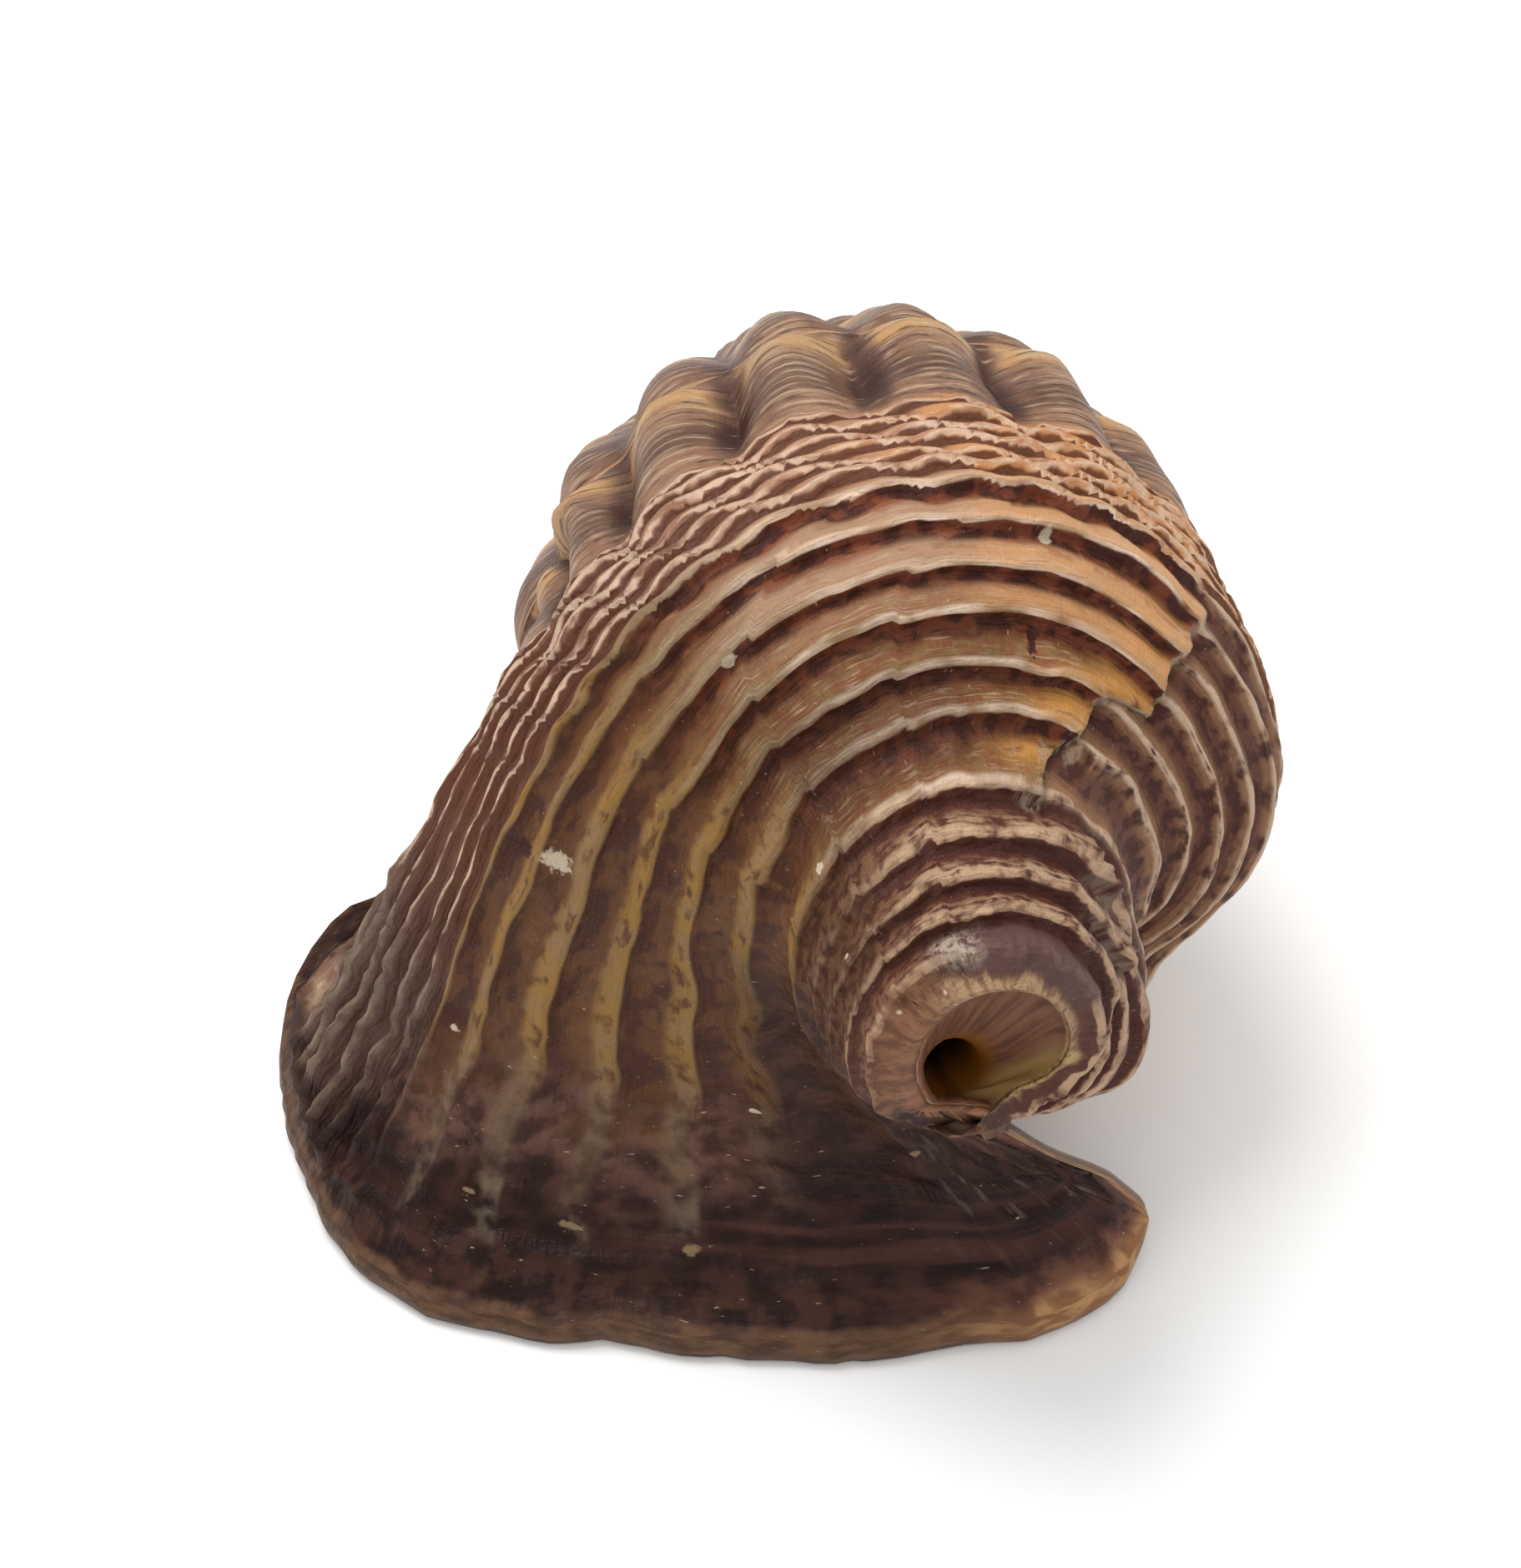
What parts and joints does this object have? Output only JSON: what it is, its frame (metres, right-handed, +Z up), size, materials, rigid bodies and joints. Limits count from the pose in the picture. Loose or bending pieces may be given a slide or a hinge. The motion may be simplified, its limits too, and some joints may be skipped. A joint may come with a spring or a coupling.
{
  "type": "cerith shell",
  "caption": "Empty sea-snail shell with a tall ribbed spire, coarse spiral cords and a flared lip, lying mouth down on its lip.",
  "frame": {"origin": "middle of the shell's footprint box, on the surface it lies on", "axes": "+Y along the spire toward its tip, -Y toward the neck and its siphonal hole, -X toward the flared lip, +Z up from the surface"},
  "size_m": [0.0282, 0.0373, 0.0219],
  "materials": {
    "shell_wall": "satin, brown banded with pale cords"
  },
  "bodies": {
    "root": {"shell": "shell_wall"}
  },
  "joints": []
}
